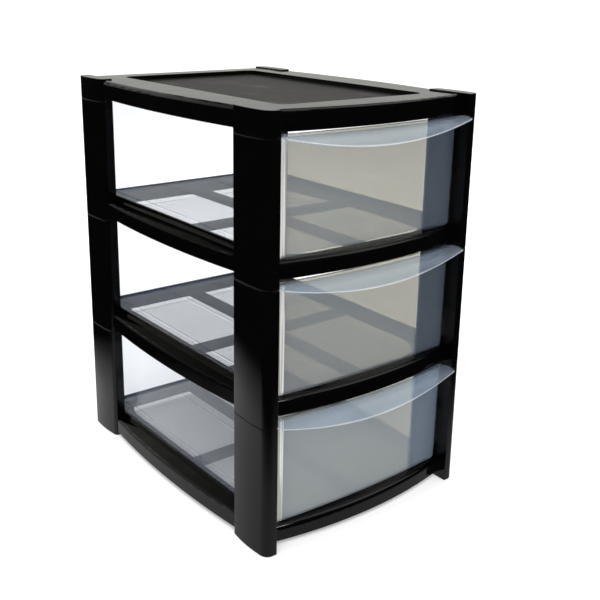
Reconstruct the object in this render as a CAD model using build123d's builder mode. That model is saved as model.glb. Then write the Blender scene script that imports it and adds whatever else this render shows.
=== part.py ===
from build123d import *
import math
import os

# A desktop drawer tower for A5 paper: three clear drawers slide in a black frame of
# moulded shelves, corner posts and a top cover. Millimetres, +Z up, +Y to the rear.
# The origin is on the ground, in the middle of the unit's width and full depth.

# Frame
frame_width = 176.0
frame_depth = 244.0
tier_height = 90.0
tier_names = ["bottom", "middle", "top"]

# Corner posts: one length for each tier, hollow, with a bulged outer face
post_length = 37.5
post_width = 10.0
post_bulge = 1.6
post_wall = 2.0
post_tip_radius = 6.0
post_end_radius = 3.0
hidden_radius = 0.4
radius_share = 0.8
seam_bevel = 0.4
foot_thickness = 3.5

# Rails of the shelves and the cover, bowed outwards between the posts
rail_wall = 2.2
rail_side_inset = 2.85
rail_side_bow = 4.6
rail_front_inset = 9.0
rail_front_bow = 9.0
rail_rear_inset = 4.0

# Joints between shelf and post: a neck through the post's inner wall and a spigot
neck_length = 22.0
neck_inset = 4.0
spigot_rise = 26.0
spigot_drop = 12.0
fit_gap = 0.3

# Shelves: a skirt, a narrow ledge for the drawer, one large window and a lower cross that parts it
skirt_lift = 3.5
ledge_height = 14.5
shelf_front_radius = 3.5
shelf_side_radius = 2.0
window_side_margin = 10.0
window_front_margin = 13.0
window_rear_margin = 11.0
window_radius = 30.0
cross_width = 9.0
cross_drop = 1.2
cross_depth = 4.5
cross_lap = 3.0
cross_radius = 6.0
cross_place = -7.0
guide_height = 4.8
guide_wall = 1.4
rear_stop_height = 1.5

# Top cover
cover_height = 15.4
cover_skirt = 13.0
cover_edge_radius = 2.5
collar_rise = 0.9
recess_depth = 3.4
recess_side_margin = 28.0
recess_front_margin = 24.0
recess_rear_margin = 19.5
recess_radius = 8.0
stiffener_count = 2
stiffener_wall = 1.6
stiffener_height = 5.0

# Drawers
drawer_headroom = 2.7
drawer_side_clearance = 0.8
drawer_front_inset = 9.5
drawer_front_bow = 4.0
drawer_rear_gap = 1.0
drawer_wall = 1.6
drawer_floor = 1.8
drawer_draft = 0.5
drawer_corner_radius = 4.0
drawer_foot_radius = 4.0
guide_clearance = 0.5
floor_rib_count = 4
floor_rib_spacing = 43.4
floor_rib_width = 1.2
floor_rib_height = 0.8
floor_rib_end_gap = 8.0

# Grip lip: a visor along the drawer's top edge that reaches forward and dips in the middle
lip_reach = 4.0
lip_bow = 6.0
lip_dip = 9.6
lip_end_dip = 0.2
lip_end_camber = 1.2
lip_camber_gain = 1.8
lip_wall = 1.6
lip_end_inset = 0.5
lip_stations = 7

# Places worked out from the sizes above
half_width = frame_width / 2
half_depth = frame_depth / 2
post_inner = half_width - post_width
post_rail_end = half_depth - post_length
frame_center = (lip_reach + lip_bow) / 2
cover_base = tier_height * len(tier_names)
cover_top = cover_base + cover_height
drawer_height = tier_height + skirt_lift - ledge_height - drawer_headroom
drawer_half_width = post_inner - drawer_side_clearance
drawer_front = half_depth - drawer_front_inset
drawer_rear = half_depth - rail_rear_inset - rail_wall - drawer_rear_gap
drawer_foot_half_width = drawer_half_width - drawer_height * math.tan(math.radians(drawer_draft))
guide_inner = drawer_foot_half_width + guide_clearance
window_half_width = post_inner - window_side_margin
window_front = window_front_margin - half_depth
window_rear = half_depth - window_rear_margin
corners = [("front_left", -1, -1), ("front_right", 1, -1), ("rear_left", -1, 1), ("rear_right", 1, 1)]


def level(height):
    """A horizontal plane at a height, centred on the frame."""
    return Plane(origin=(0, frame_center, height))


def post_radius(radius, inset):
    """A corner radius drawn in by inset, and limited by what is left of the post's width."""
    return min(max(radius - inset, hidden_radius), radius_share * (post_width - post_bulge - 2 * inset))


def post_section(side, end, inset):
    """The post's plan at one corner, drawn in from its outer surface by inset."""
    inner = side * (post_inner + inset)
    shoulder = side * (half_width - post_bulge - inset)
    crown = side * (half_width - inset)
    rail_end = end * (post_rail_end + inset)
    tip = end * (half_depth - inset)
    with BuildSketch() as section:
        with BuildLine():
            Line((inner, rail_end), (shoulder, rail_end))
            ThreePointArc((shoulder, rail_end), (crown, (rail_end + tip) / 2), (shoulder, tip))
            Line((shoulder, tip), (inner, tip))
            Line((inner, tip), (inner, rail_end))
        make_face()
        tip_corner = section.vertices().sort_by_distance((shoulder, tip))[0]
        fillet(tip_corner, post_radius(post_tip_radius, inset))
        rail_corner = section.vertices().sort_by_distance((shoulder, rail_end))[0]
        fillet(rail_corner, post_radius(post_end_radius, inset))
    return section.sketch


def rail_outline(inset):
    """The plan of a shelf or the cover between the posts, drawn in from its outer surface by inset."""
    inner = post_inner - inset
    between = post_rail_end - inset
    side = half_width - rail_side_inset - inset
    front = rail_front_inset + inset - half_depth
    rear = half_depth - rail_rear_inset - inset
    with BuildSketch() as outline:
        with BuildLine():
            Polyline((inner, front), (inner, rear), (-inner, rear), (-inner, front))
            ThreePointArc((-inner, front), (0, front - rail_front_bow), (inner, front))
        make_face()
        with BuildLine():
            Line((-side, -between), (side, -between))
            ThreePointArc((side, -between), (side + rail_side_bow, 0), (side, between))
            Line((side, between), (-side, between))
            ThreePointArc((-side, between), (-side - rail_side_bow, 0), (-side, -between))
        make_face()
    return outline.sketch


def rounded_area(half_x, front, rear, radius):
    """A rectangle with rounded corners, from front to rear across the middle."""
    with BuildSketch() as area:
        with Locations((0, (front + rear) / 2)):
            RectangleRounded(2 * half_x, rear - front, radius)
    return area.sketch


def cross_bars(inset):
    """The plan of the two bars that cross the window, lapped under the ledge and drawn in by inset."""
    with BuildSketch() as bars:
        with Locations((0, cross_place)):
            Rectangle(2 * (window_half_width + cross_lap - inset), cross_width - 2 * inset)
        with Locations((0, (window_front + window_rear) / 2)):
            Rectangle(cross_width - 2 * inset, window_rear - window_front + 2 * (cross_lap - inset))
        fillet(bars.vertices().sort_by_distance((0, cross_place))[:4], cross_radius + inset)
    return bars.sketch


def neck_section(side, end, gap):
    """The plan of the neck that joins a shelf to the spigot inside a post."""
    near = post_inner - gap
    far = post_inner + post_wall + 2 * fit_gap
    middle = end * (post_rail_end + neck_inset + neck_length / 2)
    with BuildSketch() as section:
        with Locations((side * (near + far) / 2, middle)):
            Rectangle(far - near, neck_length + 2 * gap)
    return section.sketch


def drawer_outline(inset):
    """The drawer's plan at its top edge, drawn in from its outer surface by inset."""
    side = drawer_half_width - inset
    front = inset - drawer_front
    rear = drawer_rear - inset
    with BuildSketch() as outline:
        with BuildLine():
            Polyline((side, front), (side, rear), (-side, rear), (-side, front))
            ThreePointArc((-side, front), (0, front - drawer_front_bow), (side, front))
        make_face()
        fillet(outline.vertices(), drawer_corner_radius - inset)
    return outline.sketch


def lip_section(place):
    """The lip's section at a place across the front, -1 to 1, in depth and height above the foot."""
    swell = 1 - place**2
    root = drawer_front + drawer_front_bow * swell
    edge = half_depth + lip_reach + lip_bow * swell
    dip = lip_end_dip + lip_dip * swell
    camber = lip_end_camber + lip_camber_gain * swell
    slope = math.atan2(dip, edge - root)
    turn = 2 * math.atan(2 * camber / math.hypot(dip, edge - root))
    middle = (
        (root + edge) / 2 + camber * math.sin(slope),
        drawer_height - dip / 2 + camber * math.cos(slope),
    )
    rear = root - drawer_corner_radius

    def under(depth, height, angle):
        return (-depth + lip_wall * math.sin(angle), height - lip_wall * math.cos(angle))

    with BuildSketch() as section:
        with BuildLine():
            Line((-rear, drawer_height), (-root, drawer_height))
            ThreePointArc((-root, drawer_height), (-middle[0], middle[1]), (-edge, drawer_height - dip))
            Line((-edge, drawer_height - dip), under(edge, drawer_height - dip, slope + turn))
            ThreePointArc(
                under(edge, drawer_height - dip, slope + turn),
                under(*middle, slope),
                under(root, drawer_height, slope - turn),
            )
            Line(under(root, drawer_height, slope - turn), (-rear, drawer_height - lip_wall))
            Line((-rear, drawer_height - lip_wall), (-rear, drawer_height))
        make_face()
    return section.sketch


os.makedirs("parts", exist_ok=True)

# Corner posts
for tier, tier_name in enumerate(tier_names):
    post_base = tier * tier_height
    cavity_base = foot_thickness if tier == 0 else post_base
    for corner_name, side, end in corners:
        with BuildPart() as post:
            with BuildSketch(level(post_base)):
                add(post_section(side, end, 0))
            extrude(amount=tier_height)
            chamfer(post.faces().sort_by(Axis.Z)[0].edges(), seam_bevel)
            chamfer(post.faces().sort_by(Axis.Z)[-1].edges(), seam_bevel)
            with BuildSketch(level(cavity_base)):
                add(post_section(side, end, post_wall))
            extrude(amount=post_base + tier_height - cavity_base, mode=Mode.SUBTRACT)
            with BuildSketch(level(cavity_base)):
                add(neck_section(side, end, fit_gap))
            extrude(amount=post_base + ledge_height + fit_gap - cavity_base, mode=Mode.SUBTRACT)
        post.part.label = f"post_{tier_name}_{corner_name}"
        export_step(post.part, f"parts/post_{tier_name}_{corner_name}.step")

# Shelves
for tier, tier_name in enumerate(tier_names):
    seam = tier * tier_height
    joint_base = foot_thickness if tier == 0 else seam
    spigot_base = foot_thickness if tier == 0 else seam - spigot_drop
    ledge = seam + ledge_height
    with BuildPart() as shelf:
        with BuildSketch(level(seam + skirt_lift)):
            add(rail_outline(0))
        extrude(amount=ledge_height - skirt_lift)
        rim = shelf.faces().sort_by(Axis.Z)[-1].edges()
        fillet(rim.sort_by(Axis.Y)[0], shelf_front_radius)
        rim = shelf.faces().sort_by(Axis.Z)[-1].edges()
        fillet([rim.sort_by(Axis.X)[0], rim.sort_by(Axis.X)[-1]], shelf_side_radius)
        # Hollow inside the skirt, and the window that leaves the ledge
        with BuildSketch(level(seam + skirt_lift)):
            add(rail_outline(rail_wall))
        extrude(amount=ledge_height - skirt_lift - rail_wall, mode=Mode.SUBTRACT)
        with BuildSketch(level(ledge - rail_wall)):
            add(rounded_area(window_half_width, window_front, window_rear, window_radius))
        extrude(amount=rail_wall, mode=Mode.SUBTRACT)
        # Cross bars, a little lower than the ledge and hollow underneath
        with BuildSketch(level(ledge - cross_drop - cross_depth)):
            add(cross_bars(0))
        extrude(amount=cross_depth)
        with BuildSketch(level(ledge - cross_drop - cross_depth)):
            add(cross_bars(rail_wall))
        extrude(amount=cross_depth - rail_wall, mode=Mode.SUBTRACT)
        # Guides beside the drawer and a low stop behind it
        with BuildSketch(level(ledge)):
            with GridLocations(2 * guide_inner + guide_wall, 0, 2, 1):
                Rectangle(guide_wall, 2 * post_rail_end)
        extrude(amount=guide_height)
        with BuildSketch(level(ledge)):
            with Locations((0, half_depth - rail_rear_inset - rail_wall / 2)):
                Rectangle(2 * post_inner, rail_wall)
        extrude(amount=rear_stop_height)
        # Necks and spigots that seat in the posts
        for corner_name, side, end in corners:
            with BuildSketch(level(joint_base)):
                add(neck_section(side, end, 0))
            extrude(amount=ledge - joint_base)
            with BuildSketch(level(spigot_base)):
                add(post_section(side, end, post_wall + fit_gap))
            extrude(amount=seam + spigot_rise - spigot_base)
    shelf.part.label = f"shelf_{tier_name}"
    export_step(shelf.part, f"parts/shelf_{tier_name}.step")

# Top cover
panel_top = cover_top - recess_depth
panel_under = panel_top - rail_wall
panel_width = frame_width - 2 * recess_side_margin
panel_length = frame_depth - recess_front_margin - recess_rear_margin
with BuildPart() as top_cover:
    with BuildSketch(level(cover_top - cover_skirt)):
        add(rail_outline(0))
    extrude(amount=cover_skirt)
    brim = top_cover.faces().sort_by(Axis.Z)[-1].edges()
    fillet([brim.sort_by(Axis.Y)[0], brim.sort_by(Axis.X)[0], brim.sort_by(Axis.X)[-1]], cover_edge_radius)
    # Sunk panel on top
    with BuildSketch(level(panel_top)):
        add(rounded_area(
            half_width - recess_side_margin,
            recess_front_margin - half_depth,
            half_depth - recess_rear_margin,
            recess_radius,
        ))
    extrude(amount=recess_depth, mode=Mode.SUBTRACT)
    # Hollow underside, higher under the rim than under the panel
    with BuildSketch(level(cover_top - cover_skirt)):
        add(rail_outline(rail_wall))
    extrude(amount=panel_under - cover_top + cover_skirt, mode=Mode.SUBTRACT)
    with BuildSketch(level(panel_under)):
        add(rail_outline(2 * rail_wall))
        add(rounded_area(
            half_width - recess_side_margin + rail_wall,
            recess_front_margin - half_depth - rail_wall,
            half_depth - recess_rear_margin + rail_wall,
            recess_radius + rail_wall,
        ), mode=Mode.SUBTRACT)
    extrude(amount=recess_depth, mode=Mode.SUBTRACT)
    # Stiffening ribs under the panel
    with BuildSketch(level(panel_under - stiffener_height)):
        with Locations((0, (recess_front_margin - recess_rear_margin) / 2)):
            with GridLocations(panel_width / (stiffener_count + 1), 0, stiffener_count, 1):
                Rectangle(stiffener_wall, panel_length)
    extrude(amount=stiffener_height)
    # Collars that cap the posts, a little proud of the rim, and their spigots
    for corner_name, side, end in corners:
        with BuildSketch(level(cover_base)):
            add(post_section(side, end, 0))
        extrude(amount=cover_height + collar_rise)
        with BuildSketch(level(cover_base - spigot_drop)):
            add(post_section(side, end, post_wall + fit_gap))
        extrude(amount=spigot_drop)
top_cover.part.label = "top_cover"
export_step(top_cover.part, "parts/top_cover.step")

# Drawers
for tier, tier_name in enumerate(tier_names):
    foot = tier * tier_height + ledge_height
    with BuildPart() as drawer:
        with BuildSketch(level(foot + drawer_height)):
            add(drawer_outline(0))
        extrude(amount=-drawer_height, taper=drawer_draft)
        fillet(drawer.faces().sort_by(Axis.Z)[0].edges(), drawer_foot_radius)
        for station in range(lip_stations):
            place = 2 * station / (lip_stations - 1) - 1
            across = place * (drawer_half_width - lip_end_inset)
            with BuildSketch(Plane(origin=(across, frame_center, foot), x_dir=(0, 1, 0), z_dir=(1, 0, 0))):
                add(lip_section(place))
        loft()
        with BuildSketch(level(foot + drawer_height)):
            add(drawer_outline(drawer_wall))
        extrude(amount=drawer_floor - drawer_height, taper=drawer_draft, mode=Mode.SUBTRACT)
        floor_face = drawer.faces().sort_by_distance((0, 0, foot + drawer_floor))[0]
        fillet(floor_face.edges(), drawer_foot_radius - drawer_wall)
        with BuildSketch(level(foot + drawer_floor)):
            with Locations((0, (drawer_rear - drawer_front) / 2)):
                with GridLocations(floor_rib_spacing, 0, floor_rib_count, 1):
                    Rectangle(floor_rib_width, drawer_front + drawer_rear - 2 * floor_rib_end_gap)
        extrude(amount=floor_rib_height)
    drawer.part.label = f"drawer_{tier_name}"
    export_step(drawer.part, f"parts/drawer_{tier_name}.step")
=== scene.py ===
import math

import bpy
from mathutils import Matrix, Vector

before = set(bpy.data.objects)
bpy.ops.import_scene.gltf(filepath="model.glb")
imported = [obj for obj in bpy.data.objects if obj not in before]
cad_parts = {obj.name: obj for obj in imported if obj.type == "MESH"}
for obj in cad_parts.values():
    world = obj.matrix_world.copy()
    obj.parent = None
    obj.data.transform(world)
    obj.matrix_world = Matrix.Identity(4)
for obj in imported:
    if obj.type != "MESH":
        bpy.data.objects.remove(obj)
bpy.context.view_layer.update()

# A desktop drawer tower: glossy black frame, clear drawers. Metres, +Z up, +Y to the rear.


def grey(level, warmth=0.0):
    return (level * (1 + warmth), level, level * (1 - warmth), 1.0)


# Camera, fitted to the posts, rails and recess of the photograph
CAMERA_PLACE = Vector((-0.38405, -0.52151, 0.35157))
CAMERA_AZIMUTH = math.radians(-37.61)
CAMERA_ELEVATION = math.radians(16.21)
CAMERA_ROLL = math.radians(0.79)
FRAME_PIXELS = 600
FOCAL_PIXELS = 906.01
CENTRE_PIXELS = (287.67, 251.55)
SENSOR_WIDTH = 36.0

# The sunk panel of the top cover
PANEL_HALF_WIDTH = 0.0599
PANEL_FRONT = -0.0929
PANEL_REAR = 0.1074
PANEL_HEIGHT = 0.2820
PANEL_TOLERANCE = 0.0003

# The drawers' front wall: its plane at the corners, its bow and half its width.
# The grip lip reaches LIP_REACH ahead of the corners and LIP_BOW more in the middle.
WALL_FRONT = -0.1075
WALL_BOW = 0.004
WALL_HALF_WIDTH = 0.0772
WALL_ZONE = 0.0035
WALL_FADE = 0.001
LIP_START = 0.0002
LIP_FULL = 0.0010
LIP_REACH = 0.0135
LIP_BOW = 0.006
# Width of the lip's edge line, where a highlight is painted
LIP_LINE = 0.0006
# Where the painted highlight at the front's left corner begins, and its fade
CORNER_ZONE = 0.0668
CORNER_FADE = 0.0006
# The front wall is frosted up to here from its left end, and clearer beyond
FROST_END = 0.0435
FROST_FADE = 0.006
# How upright a surface's normal is where a drawer's floor begins
FLOOR_LEVEL = (0.75, 0.95)

# The shelves' sides beyond the drawers, the height that parts the upper shelves from the bottom one,
# and the small rounding of all moulded edges
ROLLED_EDGE = 0.0785
UPPER_SHELVES = 0.05
ROLL_LEAN = 0.7
SHELF_LEAN = 0.09
EDGE_ROUNDING = 0.0006
EDGE_SAMPLES = 4

# Black plastic: colours, roughness, and the scale, height and range of its noises
BLACK = grey(0.0008, 0.02)
BLACK_SMUDGED = grey(0.0016, 0.03)
BLACK_IOR = 1.52
BLACK_SPECULAR = 0.5
# Painted shade: the drop in specular level on the upper shelves' sides
UPPER_SIDE_PAINTED_SHADE = -0.42
BLACK_ROUGHNESS = 0.075
SMUDGE_ROUGHNESS = 0.055
SCRATCH_ROUGHNESS = 0.05
WAVE_SCALE = 26.0
WAVE_HEIGHT = 0.00045
SMUDGE_SCALE = 60.0
SMUDGE_RANGE = (0.42, 0.75)
GRAIN_SCALE = 2600.0
GRAIN_HEIGHT = 0.000004
SCRATCH_SCALE = 900.0
SCRATCH_STRETCH = (1.0, 0.06, 0.9)
SCRATCH_RANGE = (0.64, 0.74)

# The panel's satin and its scuffs
SATIN = grey(0.010, 0.10)
SATIN_SCUFFED = grey(0.018, 0.12)
SATIN_ROUGHNESS = 0.46
SCUFF_POLISH = -0.07
SATIN_SPECULAR_DROP = -0.25
SATIN_TEXTURE_SCALE = 1500.0
SATIN_TEXTURE_HEIGHT = 0.00003
SCUFF_SCALE = 34.0
SCUFF_STRETCH = (1.0, 0.45, 1.0)
SCUFF_RANGE = (0.5, 0.72)

# Clear plastic: what it lets through, the colour of its haze, and how much haze each zone has, with painted
# highlights at the left corner and along the lip's edge
WALL_TINT = (0.975, 0.982, 0.990, 1.0)
CLEAR_FRONT_TINT = (0.575, 0.560, 0.520, 1.0)
FROSTED_TINT = (0.560, 0.530, 0.445, 1.0)
LIP_TINT = (0.93, 0.96, 0.985, 1.0)
WALL_COLOUR = (0.44, 0.60, 0.92, 1.0)
FLOOR_COLOUR = (0.70, 0.72, 0.73, 1.0)
CLEAR_FRONT_COLOUR = (0.50, 0.63, 0.82, 1.0)
FROSTED_COLOUR = (0.60, 0.665, 0.72, 1.0)
LIP_COLOUR = (0.60, 0.70, 0.84, 1.0)
# Painted highlight colour of the left corner's streaks
CORNER_HIGHLIGHT_COLOUR = (0.86, 0.86, 0.83, 1.0)
# Painted highlight colour of the lip's edge line
LIP_EDGE_HIGHLIGHT_COLOUR = (0.95, 0.97, 0.99, 1.0)
HAZE_LEAST = 0.018
HAZE_CLOUDS = 0.014
HAZE_FROST = 0.17
HAZE_EDGE_ON = 0.11
HAZE_LIP = 0.02
HAZE_LIP_CLOUDS = 0.12
# Painted highlight shares of the left corner and its streaks
CORNER_PAINTED_HIGHLIGHT = 0.12
STREAK_PAINTED_HIGHLIGHT = 0.50
# Painted highlight share of the lip's edge line
LIP_EDGE_PAINTED_HIGHLIGHT = 0.24
HAZE_ROUGHNESS = 0.35
CLEAR_IOR = 1.49
CLOUD_SCALE = 38.0
# Scale, stretch and range of the painted highlight streaks at the left corner
STREAK_SCALE = 700.0
STREAK_STRETCH = (1.0, 1.0, 0.012)
STREAK_RANGE = (0.46, 0.60)
FLOW_SCALE = 55.0
FLOW_STRETCH = (1.0, 1.0, 0.18)
FLOW_HEIGHT = 0.00035
EDGE_ON_POWER = 4.0
MIRROR_ROUGHNESS = 0.06
MIRROR_POWER = 5.0
MIRROR_EDGE = 0.62
MIRROR_LEAST = 0.012
# Haze of each drawer's front and floor, and the share of light that the floor lets through. The three
# drawers are alike, so the differences between these rows are painted light and shade, chiefly lifting the
# bottom drawer
DRAWER_HAZES_AND_PAINTED_LIGHT = {
    "drawer_top": (0.070, 0.045, 0.88),
    "drawer_middle": (0.070, 0.045, 0.78),
    "drawer_bottom": (0.19, 0.22, 0.92),
}

# Floor: a pale sheet. Gloss sees it bright close by, more to the rear, and dark beyond
FLOOR_SIZE = 8.0
FLOOR_PALE = grey(0.82)
LIFT_RANGE = (0.2, 0.9)
LIFT_LEAST = 0.30
LIFT_GAIN = 0.4
SHEET_RADIUS = 0.19
SHEET_EDGE = 0.16
SHEET_GLOW = 0.46
SHEET_REAR_GAIN = 2.2
DARK_ROOM = 0.004

# World: white for the camera, a fill for the light, and for gloss a low backdrop and a ceiling glow
WHITE = grey(1.0)
FILL = 0.6
GLOSS_COLOUR = (1.0, 1.0, 0.94, 1.0)
BACKDROP_ACROSS = 0.35
BACKDROP_DEPTH = 0.94
BACKDROP_RANGE = (0.05, 0.75)
BACKDROP_TOP = (0.42, 0.75)
BACKDROP_GLOW = 0.53
CEILING_GLOW_DIRECTION = (0.590, -0.100, 0.801)
CEILING_RANGE = (0.90, 0.985)
CEILING_GLOW = 0.9

# Lamps: name, place, width, watts and whether gloss shows them. Each faces LAMP_TARGET
LAMP_TARGET = (0, 0, 0.1)
LAMPS = [
    ("key", (-0.9, -1.1, 1.7), 1.4, 26.0, False),
    ("overhead", (0.1, 0.3, 1.5), 1.2, 14.0, False),
    ("glint", (0.42, -1.25, 1.45), 0.16, 2.0, True),
]


# Node helpers

def new_material(name):
    material = bpy.data.materials.new(name)
    material.use_nodes = True
    material.node_tree.nodes.clear()
    return material, material.node_tree


def connect(tree, socket, value):
    """Links an output to the socket, or sets the socket to a plain value."""
    if isinstance(value, bpy.types.NodeSocket):
        tree.links.new(value, socket)
    else:
        socket.default_value = value


def add_node(tree, kind, **settings):
    """Adds a node and sets its attributes."""
    node = tree.nodes.new(kind)
    for key, value in settings.items():
        setattr(node, key, value)
    return node


def feed(tree, node, **inputs):
    """Feeds inputs by name, with _ for a space in the socket's name, or by number as i0, i1 and so on."""
    for key, value in inputs.items():
        if key[0] == "i" and key[1:].isdigit():
            socket = node.inputs[int(key[1:])]
        else:
            socket = node.inputs[key.replace("_", " ")]
        connect(tree, socket, value)
    return node


def math_node(tree, operation, first, second=0.0, third=None, clamp=False):
    node = add_node(tree, "ShaderNodeMath", operation=operation, use_clamp=clamp)
    feed(tree, node, i0=first, i1=second)
    if third is not None:
        feed(tree, node, i2=third)
    return node.outputs[0]


def times(tree, first, second):
    return math_node(tree, "MULTIPLY", first, second)


def scaled(tree, value, gain, offset, clamp=False):
    """value * gain + offset"""
    return math_node(tree, "MULTIPLY_ADD", value, gain, offset, clamp)


def inverse(tree, value):
    """1 - value"""
    return math_node(tree, "SUBTRACT", 1.0, value)


def ramp_between(tree, value, low, high):
    """0 below low, 1 above high, smooth between."""
    node = add_node(tree, "ShaderNodeMapRange", interpolation_type="SMOOTHSTEP")
    feed(tree, node, Value=value, From_Min=low, From_Max=high)
    return node.outputs["Result"]


def noise(tree, place, scale, detail=2.0, roughness=0.5, stretch=None):
    """A noise value over the piece, in cycles per metre, longer along an axis where stretch is small."""
    if stretch is not None:
        mapping = add_node(tree, "ShaderNodeMapping")
        feed(tree, mapping, Vector=place, Scale=stretch)
        place = mapping.outputs[0]
    node = add_node(tree, "ShaderNodeTexNoise")
    feed(tree, node, Vector=place, Scale=scale, Detail=detail, Roughness=roughness)
    return node.outputs["Fac"]


def parts_of(tree, vector):
    """The x, y and z of a vector."""
    axes = add_node(tree, "ShaderNodeSeparateXYZ")
    feed(tree, axes, Vector=vector)
    return axes.outputs


def geometry(tree, output):
    return add_node(tree, "ShaderNodeNewGeometry").outputs[output]


def coordinates(tree, output):
    return add_node(tree, "ShaderNodeTexCoord").outputs[output]


def mix_colour(tree, share, first, second):
    node = add_node(tree, "ShaderNodeMix", data_type="RGBA")
    feed(tree, node, i0=share, i6=first, i7=second)
    return node.outputs[2]


def mix_shader(tree, share, first, second):
    node = add_node(tree, "ShaderNodeMixShader")
    feed(tree, node, Fac=share, i1=first, i2=second)
    return node.outputs[0]


def shader(tree, kind, **inputs):
    return feed(tree, add_node(tree, kind), **inputs).outputs[0]


def bump(tree, height, distance, normal=None):
    node = add_node(tree, "ShaderNodeBump")
    feed(tree, node, Height=height, Distance=distance, Strength=1.0)
    if normal is not None:
        feed(tree, node, Normal=normal)
    return node.outputs[0]


def show(tree, kind, surface):
    """Ends a tree with its output node."""
    feed(tree, add_node(tree, kind), Surface=surface)


# Materials

def beyond_drawer(tree, across):
    """1 on what a shelf has beyond the drawer's width, 0 elsewhere."""
    return math_node(tree, "GREATER_THAN", math_node(tree, "ABSOLUTE", across), ROLLED_EDGE)


def leaning_normal(tree, place, lean):
    """The normal with rounded edges. With a lean, upright faces mirror a little higher, as their
    moulding draft makes them, and the outer ledge rolls over towards the side."""
    rounded = add_node(tree, "ShaderNodeBevel", samples=EDGE_SAMPLES)
    feed(tree, rounded, Radius=EDGE_ROUNDING)
    if not lean:
        return rounded.outputs[0]
    across = parts_of(tree, place)[0]
    outward = times(tree, math_node(tree, "SIGN", across), beyond_drawer(tree, across))
    roll = add_node(tree, "ShaderNodeCombineXYZ")
    feed(tree, roll, X=times(tree, outward, ROLL_LEAN), Z=lean)
    leaning = add_node(tree, "ShaderNodeVectorMath", operation="ADD")
    feed(tree, leaning, i0=rounded.outputs[0], i1=roll.outputs[0])
    upright = add_node(tree, "ShaderNodeVectorMath", operation="NORMALIZE")
    feed(tree, upright, i0=leaning.outputs[0])
    return upright.outputs[0]


def panel_mask(tree, place):
    """1 on the cover's sunk panel, 0 elsewhere."""
    x, y, z = parts_of(tree, place)
    inside = math_node(tree, "LESS_THAN", math_node(tree, "ABSOLUTE", x), PANEL_HALF_WIDTH)
    inside = times(tree, inside, math_node(tree, "GREATER_THAN", y, PANEL_FRONT))
    inside = times(tree, inside, math_node(tree, "LESS_THAN", y, PANEL_REAR))
    return times(tree, inside, math_node(tree, "COMPARE", z, PANEL_HEIGHT, PANEL_TOLERANCE))


def black_plastic(name, with_panel=False, lean=0.0):
    """Glossy black moulded polystyrene. With the panel, the cover's sunk panel is satin and scuffed."""
    material, tree = new_material(name)
    place = coordinates(tree, "Object")
    waves = noise(tree, place, WAVE_SCALE, detail=1.0)
    smudges = noise(tree, place, SMUDGE_SCALE, detail=4.0, roughness=0.6)
    grain = noise(tree, place, GRAIN_SCALE, detail=2.0)
    scratches = noise(tree, place, SCRATCH_SCALE, detail=3.0, stretch=SCRATCH_STRETCH)
    marks = ramp_between(tree, scratches, *SCRATCH_RANGE)
    colour = mix_colour(tree, smudges, BLACK, BLACK_SMUDGED)
    rough = scaled(tree, ramp_between(tree, smudges, *SMUDGE_RANGE), SMUDGE_ROUGHNESS, BLACK_ROUGHNESS)
    rough = scaled(tree, marks, SCRATCH_ROUGHNESS, rough)
    normal = bump(tree, waves, WAVE_HEIGHT, leaning_normal(tree, place, lean))
    normal = bump(tree, grain, GRAIN_HEIGHT, normal)
    specular = BLACK_SPECULAR
    if lean:
        # Painted shade: the upper shelves' sides get a lower specular level, so they mirror little
        across, _, height = parts_of(tree, place)
        upper = math_node(tree, "GREATER_THAN", height, UPPER_SHELVES)
        upper_sides = times(tree, beyond_drawer(tree, across), upper)
        specular = scaled(tree, upper_sides, UPPER_SIDE_PAINTED_SHADE, BLACK_SPECULAR)
    if with_panel:
        panel = panel_mask(tree, place)
        texture = noise(tree, place, SATIN_TEXTURE_SCALE, detail=2.0)
        patches = noise(tree, place, SCUFF_SCALE, detail=5.0, roughness=0.62, stretch=SCUFF_STRETCH)
        scuffs = ramp_between(tree, patches, *SCUFF_RANGE)
        colour = mix_colour(tree, panel, colour, mix_colour(tree, scuffs, SATIN, SATIN_SCUFFED))
        blend = add_node(tree, "ShaderNodeMix", data_type="FLOAT")
        feed(tree, blend, i0=panel, i2=rough, i3=scaled(tree, scuffs, SCUFF_POLISH, SATIN_ROUGHNESS))
        rough = blend.outputs[0]
        specular = scaled(tree, panel, SATIN_SPECULAR_DROP, BLACK_SPECULAR)
        normal = bump(tree, times(tree, texture, panel), SATIN_TEXTURE_HEIGHT, normal)
    plastic = add_node(tree, "ShaderNodeBsdfPrincipled")
    feed(tree, plastic, Base_Color=colour, Roughness=rough, Normal=normal)
    feed(tree, plastic, IOR=BLACK_IOR, Specular_IOR_Level=specular)
    show(tree, "ShaderNodeOutputMaterial", plastic.outputs[0])
    return material


def front_zones(tree, across, depth):
    """How far a point lies on the front wall, on the grip lip and on the lip's edge line."""
    share = math_node(tree, "DIVIDE", across, WALL_HALF_WIDTH)
    swell = inverse(tree, times(tree, share, share))
    ahead = math_node(tree, "SUBTRACT", WALL_FRONT, scaled(tree, swell, WALL_BOW, depth))
    lip = ramp_between(tree, ahead, LIP_START, LIP_FULL)
    behind_lip = ramp_between(tree, ahead, -WALL_ZONE, WALL_FADE - WALL_ZONE)
    front = times(tree, behind_lip, inverse(tree, lip))
    to_edge = scaled(tree, swell, LIP_BOW - WALL_BOW, LIP_REACH)
    to_edge = math_node(tree, "SUBTRACT", to_edge, ahead)
    # The lip's edge line, where a highlight is painted
    line = inverse(tree, ramp_between(tree, to_edge, LIP_LINE / 2, LIP_LINE))
    return front, lip, times(tree, line, lip)


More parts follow.
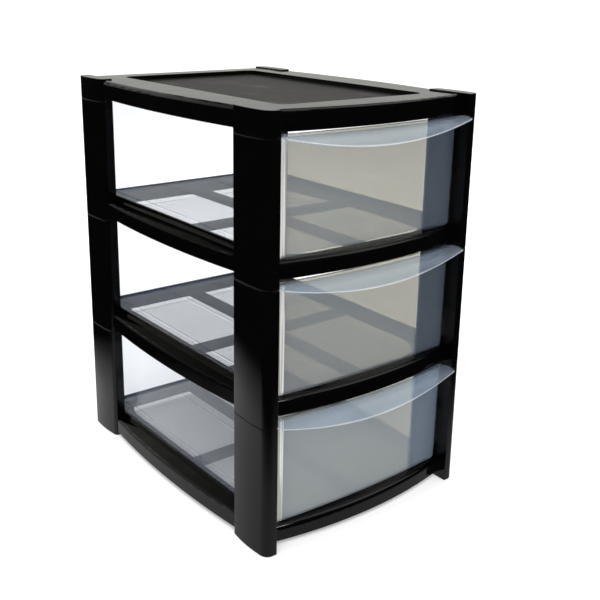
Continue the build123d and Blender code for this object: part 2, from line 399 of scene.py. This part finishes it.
def clear_plastic(name, front_haze_and_painted_light, floor_haze_and_painted_light, floor_tint_and_painted_light):
    """Clear polypropylene: nearly colourless side walls, a frosted greyer front and a bluish grip lip."""
    material, tree = new_material(name)
    place = coordinates(tree, "Object")
    across, depth, _ = parts_of(tree, place)
    front, lip, line = front_zones(tree, across, depth)
    upward = parts_of(tree, geometry(tree, "True Normal"))[2]
    flat = ramp_between(tree, math_node(tree, "ABSOLUTE", upward), *FLOOR_LEVEL)
    flat = times(tree, flat, inverse(tree, lip))
    to_left = times(tree, across, -1.0)
    # Painted highlight: the front's left corner
    corner = times(tree, ramp_between(tree, to_left, CORNER_ZONE, CORNER_ZONE + CORNER_FADE), front)
    clearer = ramp_between(tree, across, FROST_END, FROST_END + FROST_FADE)
    frost = times(tree, inverse(tree, clearer), front)
    lines_down = noise(tree, place, STREAK_SCALE, detail=1.0, stretch=STREAK_STRETCH)
    streaks = ramp_between(tree, lines_down, *STREAK_RANGE)
    clouds = noise(tree, place, CLOUD_SCALE, detail=3.0, roughness=0.55)
    flow = noise(tree, place, FLOW_SCALE, detail=2.0, stretch=FLOW_STRETCH)
    weight = add_node(tree, "ShaderNodeLayerWeight")
    feed(tree, weight, Blend=0.5)
    facing = weight.outputs["Facing"]

    haze = scaled(tree, clouds, HAZE_CLOUDS, HAZE_LEAST)
    # Each drawer's own front and floor shares are partly haze and partly painted light
    haze = scaled(tree, front, front_haze_and_painted_light, haze)
    haze = scaled(tree, frost, HAZE_FROST, haze)
    haze = scaled(tree, flat, floor_haze_and_painted_light, haze)
    haze = scaled(tree, math_node(tree, "POWER", facing, EDGE_ON_POWER), HAZE_EDGE_ON, haze)
    haze = scaled(tree, lip, scaled(tree, clouds, HAZE_LIP_CLOUDS, HAZE_LIP), haze)
    # Painted highlight: pale streaks at the left corner, added as haze
    haze = scaled(tree, corner, scaled(tree, streaks, STREAK_PAINTED_HIGHLIGHT, CORNER_PAINTED_HIGHLIGHT), haze)
    # Painted highlight along the lip's edge, added as haze
    haze = scaled(tree, line, LIP_EDGE_PAINTED_HIGHLIGHT, haze, clamp=True)

    # The floor's share of light let through also holds each drawer's painted light and shade
    tint = mix_colour(tree, flat, WALL_TINT, grey(floor_tint_and_painted_light))
    tint = mix_colour(tree, front, tint, mix_colour(tree, frost, CLEAR_FRONT_TINT, FROSTED_TINT))
    tint = mix_colour(tree, lip, tint, LIP_TINT)
    passing = shader(tree, "ShaderNodeBsdfTransparent", Color=tint)

    colour = mix_colour(tree, flat, WALL_COLOUR, FLOOR_COLOUR)
    colour = mix_colour(tree, front, colour, mix_colour(tree, frost, CLEAR_FRONT_COLOUR, FROSTED_COLOUR))
    colour = mix_colour(tree, lip, colour, LIP_COLOUR)
    # Painted highlight colour at the left corner
    colour = mix_colour(tree, corner, colour, CORNER_HIGHLIGHT_COLOUR)
    # Painted highlight colour along the lip's edge
    colour = mix_colour(tree, line, colour, LIP_EDGE_HIGHLIGHT_COLOUR)
    normal = bump(tree, flow, FLOW_HEIGHT)
    body = add_node(tree, "ShaderNodeBsdfPrincipled")
    feed(tree, body, Base_Color=colour, Roughness=HAZE_ROUGHNESS, Normal=normal, IOR=CLEAR_IOR)
    hazed = mix_shader(tree, haze, passing, body.outputs[0])

    gloss = shader(tree, "ShaderNodeBsdfGlossy", Color=WHITE, Roughness=MIRROR_ROUGHNESS, Normal=normal)
    mirror = scaled(tree, math_node(tree, "POWER", facing, MIRROR_POWER), MIRROR_EDGE, MIRROR_LEAST)
    show(tree, "ShaderNodeOutputMaterial", mix_shader(tree, mirror, hazed, gloss))
    return material


def floor_material():
    """A pale sheet. The camera sees it white with the soft shadow, and gloss sees it fade into the dark."""
    material, tree = new_material("stage_floor")
    path = add_node(tree, "ShaderNodeLightPath")
    place = coordinates(tree, "Object")
    length = add_node(tree, "ShaderNodeVectorMath", operation="LENGTH")
    feed(tree, length, i0=place)
    far = length.outputs["Value"]

    pale = shader(tree, "ShaderNodeBsdfDiffuse", Color=FLOOR_PALE)
    lifting = scaled(tree, ramp_between(tree, far, *LIFT_RANGE), LIFT_GAIN, LIFT_LEAST)
    lift = shader(tree, "ShaderNodeEmission", Color=WHITE, Strength=lifting)
    lifted = shader(tree, "ShaderNodeAddShader", i0=pale, i1=lift)
    seen = mix_shader(tree, path.outputs["Is Camera Ray"], pale, lifted)

    near = inverse(tree, ramp_between(tree, far, SHEET_RADIUS, SHEET_RADIUS + SHEET_EDGE))
    near = times(tree, near, scaled(tree, parts_of(tree, place)[1], SHEET_REAR_GAIN, 1.0))
    glow = scaled(tree, near, SHEET_GLOW, DARK_ROOM)
    sheet = shader(tree, "ShaderNodeEmission", Color=WHITE, Strength=glow)
    surface = mix_shader(tree, path.outputs["Is Glossy Ray"], seen, sheet)
    show(tree, "ShaderNodeOutputMaterial", surface)
    return material


def gloss_glow(tree):
    """The strength of what the glossy faces mirror: a low backdrop behind the unit and a ceiling glow."""
    direction = coordinates(tree, "Generated")
    x, y, z = parts_of(tree, direction)
    behind = scaled(tree, y, BACKDROP_DEPTH, times(tree, x, BACKDROP_ACROSS))
    low = inverse(tree, ramp_between(tree, z, *BACKDROP_TOP))
    bright = times(tree, ramp_between(tree, behind, *BACKDROP_RANGE), low)
    glow = scaled(tree, bright, BACKDROP_GLOW, DARK_ROOM)
    towards = add_node(tree, "ShaderNodeVectorMath", operation="DOT_PRODUCT")
    feed(tree, towards, i0=direction, i1=CEILING_GLOW_DIRECTION)
    ceiling = ramp_between(tree, towards.outputs["Value"], *CEILING_RANGE)
    return scaled(tree, ceiling, CEILING_GLOW, glow)


def set_world():
    """White for the camera, a soft fill for the light, and the studio for gloss."""
    world = bpy.data.worlds.new("studio")
    bpy.context.scene.world = world
    world.use_nodes = True
    tree = world.node_tree
    tree.nodes.clear()
    path = add_node(tree, "ShaderNodeLightPath")
    white = shader(tree, "ShaderNodeBackground", Color=WHITE, Strength=1.0)
    gloss = shader(tree, "ShaderNodeBackground", Color=GLOSS_COLOUR, Strength=gloss_glow(tree))
    fill = shader(tree, "ShaderNodeBackground", Color=WHITE, Strength=FILL)
    indirect = mix_shader(tree, path.outputs["Is Glossy Ray"], fill, gloss)
    camera, through = path.outputs["Is Camera Ray"], path.outputs["Is Transmission Ray"]
    surface = mix_shader(tree, math_node(tree, "MAXIMUM", camera, through), indirect, white)
    show(tree, "ShaderNodeOutputWorld", surface)


# Stage, lamps and camera

def add_floor():
    mesh = bpy.data.meshes.new("stage_floor")
    reach = FLOOR_SIZE / 2
    corners = [(-reach, -reach, 0), (reach, -reach, 0), (reach, reach, 0), (-reach, reach, 0)]
    mesh.from_pydata(corners, [], [(0, 1, 2, 3)])
    floor = bpy.data.objects.new("stage_floor", mesh)
    bpy.context.scene.collection.objects.link(floor)
    mesh.materials.append(floor_material())


def add_lamp(name, place, width, watts, glossy):
    """A soft square lamp that faces the unit."""
    data = bpy.data.lights.new(name, "AREA")
    data.shape = "RECTANGLE"
    data.size, data.size_y = width, width
    data.energy = watts
    lamp = bpy.data.objects.new(name, data)
    bpy.context.scene.collection.objects.link(lamp)
    lamp.location = place
    lamp.rotation_euler = (Vector(LAMP_TARGET) - Vector(place)).to_track_quat("-Z", "Y").to_euler()
    lamp.visible_glossy = glossy


def add_camera():
    """Looks from the photograph's place, with its roll, focal length and image centre."""
    back = Vector((
        math.sin(CAMERA_AZIMUTH) * math.cos(CAMERA_ELEVATION),
        -math.cos(CAMERA_AZIMUTH) * math.cos(CAMERA_ELEVATION),
        math.sin(CAMERA_ELEVATION),
    ))
    right = (-back).cross(Vector((0, 0, 1))).normalized()
    up = right.cross(-back)
    rolled_right = math.cos(CAMERA_ROLL) * right + math.sin(CAMERA_ROLL) * up
    rolled_up = math.cos(CAMERA_ROLL) * up - math.sin(CAMERA_ROLL) * right
    data = bpy.data.cameras.new("photo_camera")
    data.sensor_width = SENSOR_WIDTH
    data.lens = SENSOR_WIDTH * FOCAL_PIXELS / FRAME_PIXELS
    data.shift_x = (FRAME_PIXELS / 2 - CENTRE_PIXELS[0]) / FRAME_PIXELS
    data.shift_y = (CENTRE_PIXELS[1] - FRAME_PIXELS / 2) / FRAME_PIXELS
    camera = bpy.data.objects.new("photo_camera", data)
    bpy.context.scene.collection.objects.link(camera)
    turn = Matrix((rolled_right, rolled_up, back)).transposed()
    camera.matrix_world = Matrix.Translation(CAMERA_PLACE) @ turn.to_4x4()
    bpy.context.scene.camera = camera


def dress(nodes):
    """Gives every piece of the frame and every drawer its plastic."""
    post = black_plastic("black_plastic_post")
    shelf = black_plastic("black_plastic_shelf", lean=SHELF_LEAN)
    cover = black_plastic("black_plastic_cover", with_panel=True)
    clear = {
        drawer: clear_plastic(drawer.replace("drawer", "clear_plastic"), *hazes_and_painted_light)
        for drawer, hazes_and_painted_light in DRAWER_HAZES_AND_PAINTED_LIGHT.items()
    }
    for name, piece in nodes.items():
        if name in clear:
            material = clear[name]
        elif name == "top_cover":
            material = cover
        elif name.startswith("shelf"):
            material = shelf
        else:
            material = post
        piece.data.materials.clear()
        piece.data.materials.append(material)


bpy.context.scene.view_settings.view_transform = "Standard"
bpy.context.scene.cycles.transparent_max_bounces = 24
add_camera()
set_world()
add_floor()
for lamp in LAMPS:
    add_lamp(*lamp)
dress(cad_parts)
